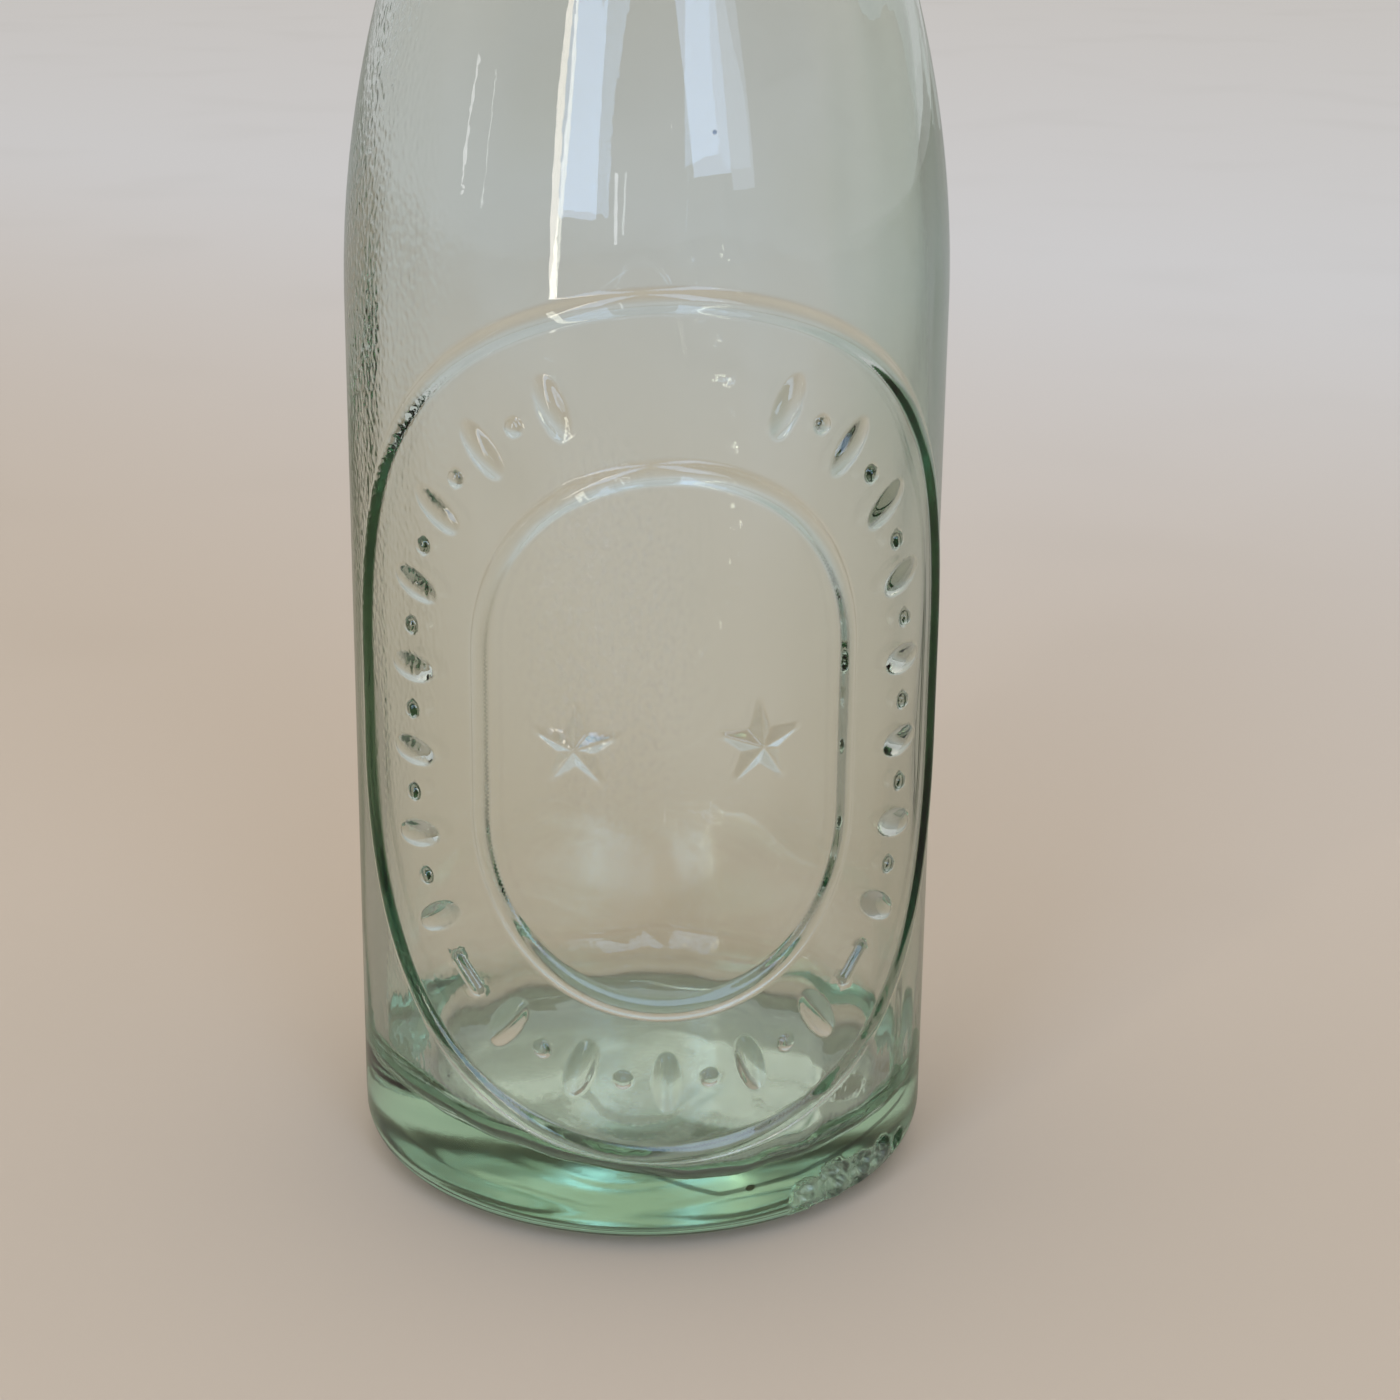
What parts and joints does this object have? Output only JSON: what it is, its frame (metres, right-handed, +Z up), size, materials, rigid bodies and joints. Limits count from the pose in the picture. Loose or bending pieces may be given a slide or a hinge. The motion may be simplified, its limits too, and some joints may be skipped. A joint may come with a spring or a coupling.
{
  "type": "glass bottle",
  "caption": "Tall round glass bottle with a thick base, long shoulder, short neck, banded lip and a raised oval emblem on its front, for holding and pouring milk.",
  "frame": {"origin": "on the bottle's axis, in the plane that it stands on", "axes": "+Z up along the bottle's axis towards the mouth, -Y out of the front that carries the emblem"},
  "size_m": [0.088, 0.089, 0.261],
  "materials": {
    "glass": "clear, pale green, gloss"
  },
  "bodies": {
    "root": {"bottle": "glass"}
  },
  "joints": []
}
